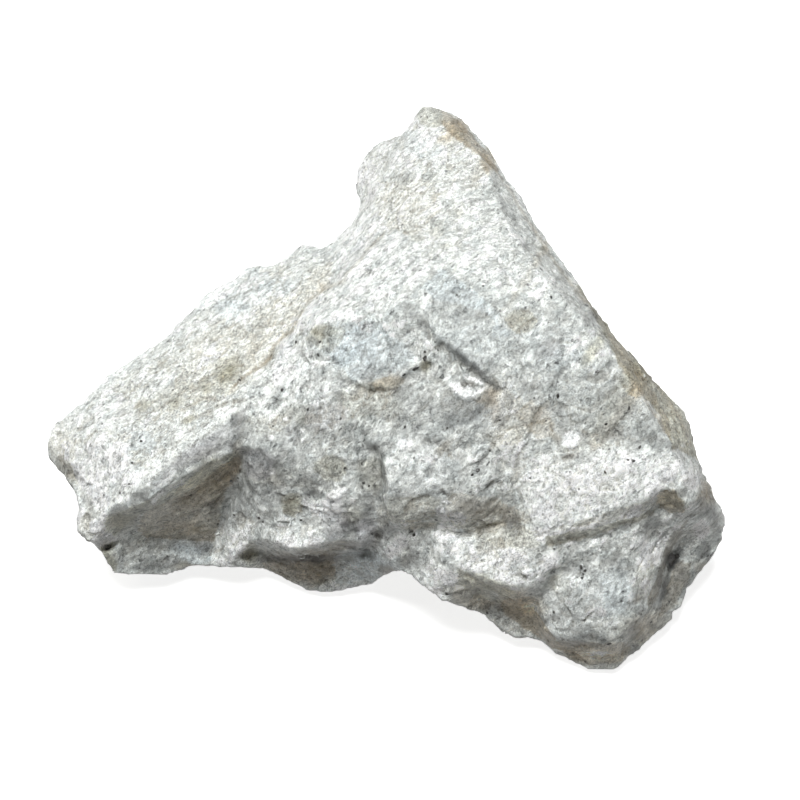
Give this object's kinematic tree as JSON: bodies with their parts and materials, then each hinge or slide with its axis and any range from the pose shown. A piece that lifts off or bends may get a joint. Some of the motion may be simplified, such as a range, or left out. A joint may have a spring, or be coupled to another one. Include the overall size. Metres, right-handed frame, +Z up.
{
  "type": "humite specimen",
  "caption": "Broken lump of pale grey-white granular humite with a flat weathered slab at the left, stepped fracture faces and dark specks; rests on its flattest face.",
  "frame": {"origin": "centre of the bounding box at the table, on the plane of the resting face", "axes": "+Z up from the resting face; +X along the longest side, from the slab's rounded end to the blocky end; -Y towards the broken front face"},
  "size_m": [0.1014, 0.087, 0.0404],
  "materials": {
    "humite": "rough broken surface with small glassy cleavage faces, white to bluish grey, cream where weathered"
  },
  "bodies": {
    "root": {"humite_rock": "humite"}
  },
  "joints": []
}
